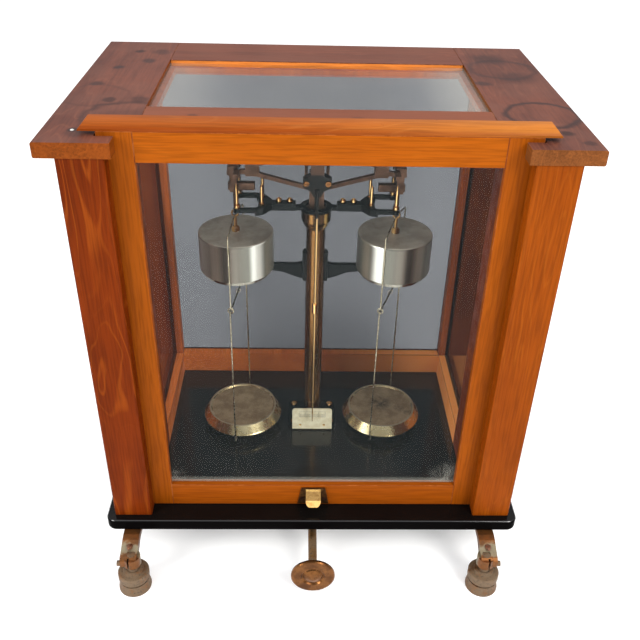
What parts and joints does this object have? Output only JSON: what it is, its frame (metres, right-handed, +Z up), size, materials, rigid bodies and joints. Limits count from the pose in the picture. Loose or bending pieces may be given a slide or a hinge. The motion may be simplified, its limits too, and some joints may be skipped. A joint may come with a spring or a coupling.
{
  "type": "analytical balance",
  "caption": "Analytical beam balance with damped pans in a glazed wooden case with a sliding front door and an arrestment knob.",
  "frame": {"origin": "on the table under the middle of the bounding box", "axes": "+Z up, +Y from the door to the back, +X to the right seen from the front"},
  "size_m": [0.414, 0.331, 0.45],
  "materials": {
    "varnished_wood": "satin varnish, orange-brown",
    "post_wood": "satin varnish, deeper red-brown",
    "moulding_wood": "satin varnish, lighter",
    "top_wood": "worn dull varnish with stains",
    "black_lacquer": "gloss black lacquer",
    "clear_glass": "polished",
    "brass": "polished, lacquered",
    "bronze": "dull bronze",
    "aged_brass": "aged, grey patina",
    "black_casting": "satin black stove enamel",
    "nickel": "fine brushed",
    "pan_metal": "worn nickel plate over brass",
    "steel": "ground",
    "agate": "polished agate",
    "ivory": "ivory-coloured plate"
  },
  "bodies": {
    "case": {"base_board": "black_lacquer", "left_front_post": "post_wood", "right_front_post": "post_wood", "left_rear_post": "post_wood", "right_rear_post": "post_wood", "side_stiles": "post_wood", "bottom_rails": "varnished_wood", "top_rails": "varnished_wood", "side_glasses": "clear_glass", "back_glass": "clear_glass", "top_glass": "clear_glass", "glazing_beads": "moulding_wood", "top_left_board": "top_wood", "top_right_board": "top_wood", "top_front_rail": "top_wood", "top_back_rail": "top_wood", "column_foot": "black_casting", "column_tube": "brass", "column_collar": "brass", "beam_support": "bronze", "centre_plane": "agate", "damper_bracket": "black_casting", "damper_cylinders": "nickel", "column_screws": "brass", "scale_plate": "ivory", "scale_bracket": "brass", "shaft_hangers": "black_casting", "foot_brackets": "aged_brass", "foot_clamp_screws": "aged_brass", "foot_cups": "aged_brass", "rear_foot": "aged_brass"},
    "door": {"door_stiles": "varnished_wood", "door_rails": "varnished_wood", "door_glass": "clear_glass", "door_moulding": "moulding_wood", "door_lift_tab": "brass", "door_tab_screws": "bronze"},
    "knob": {"arrest_knob": "bronze", "arrest_shaft": "aged_brass"},
    "lift": {"lift_rod": "steel", "arrest_frame": "black_casting", "arrest_pillars": "brass", "arrest_frame_screws": "brass"},
    "beam": {"beam": "bronze", "beam_knives": "steel", "pointer": "black_casting", "pointer_weight": "brass", "beam_nuts": "brass"},
    "left_hanger": {"left_stirrup": "bronze", "left_damper_cup": "nickel", "left_hanger_bow": "pan_metal"},
    "right_hanger": {"right_stirrup": "bronze", "right_damper_cup": "nickel", "right_hanger_bow": "pan_metal"},
    "left_pan": {"left_pan_bow": "pan_metal", "left_pan": "pan_metal"},
    "right_pan": {"right_pan_bow": "pan_metal", "right_pan": "pan_metal"},
    "left_foot_screw": {"left_levelling_screw": "aged_brass"},
    "right_foot_screw": {"right_levelling_screw": "aged_brass"}
  },
  "joints": [
    {"name": "door_slide", "type": "slide", "parent": "case", "child": "door", "axis": [0, 0, 1], "range_m": [0, 0.3]},
    {"name": "knob_turn", "type": "hinge", "parent": "case", "child": "knob", "pos_m": [0, 0.0265, 0.026], "axis": [0, 1, 0], "range_deg": [0, 90]},
    {"name": "frame_lift", "type": "slide", "parent": "case", "child": "lift", "axis": [0, 0, 1], "range_m": [0, 0.002]},
    {"name": "beam_tilt", "type": "hinge", "parent": "case", "child": "beam", "pos_m": [0, 0.0265, 0.362], "axis": [0, 1, 0], "range_deg": [-2, 2]},
    {"name": "left_stirrup_pivot", "type": "hinge", "parent": "beam", "child": "left_hanger", "pos_m": [-0.077, 0.0265, 0.362], "axis": [0, 1, 0], "range_deg": [-2.2, 2.2]},
    {"name": "right_stirrup_pivot", "type": "hinge", "parent": "beam", "child": "right_hanger", "pos_m": [0.077, 0.0265, 0.362], "axis": [0, 1, 0], "range_deg": [-2.2, 2.2]},
    {"name": "left_pan_swing", "type": "hinge", "parent": "left_hanger", "child": "left_pan", "pos_m": [-0.077, 0.0265, 0.23], "axis": [0.1219, 0.9925, 0], "range_deg": [-4, 4]},
    {"name": "right_pan_swing", "type": "hinge", "parent": "right_hanger", "child": "right_pan", "pos_m": [0.077, 0.0265, 0.23], "axis": [0.342, 0.9397, 0], "range_deg": [-4, 4]},
    {"name": "left_foot_turn", "type": "hinge", "parent": "case", "child": "left_foot_screw", "pos_m": [-0.173, -0.15, 0.02], "axis": [0, 0, 1], "continuous": true},
    {"name": "right_foot_turn", "type": "hinge", "parent": "case", "child": "right_foot_screw", "pos_m": [0.167, -0.15, 0.02], "axis": [0, 0, 1], "continuous": true}
  ],
  "couplings": [
    {"joint": "knob_turn", "follows": "frame_lift", "rad_per_m": 785.39},
    {"joint": "left_stirrup_pivot", "follows": "beam_tilt", "ratio": -1},
    {"joint": "right_stirrup_pivot", "follows": "beam_tilt", "ratio": -1}
  ]
}
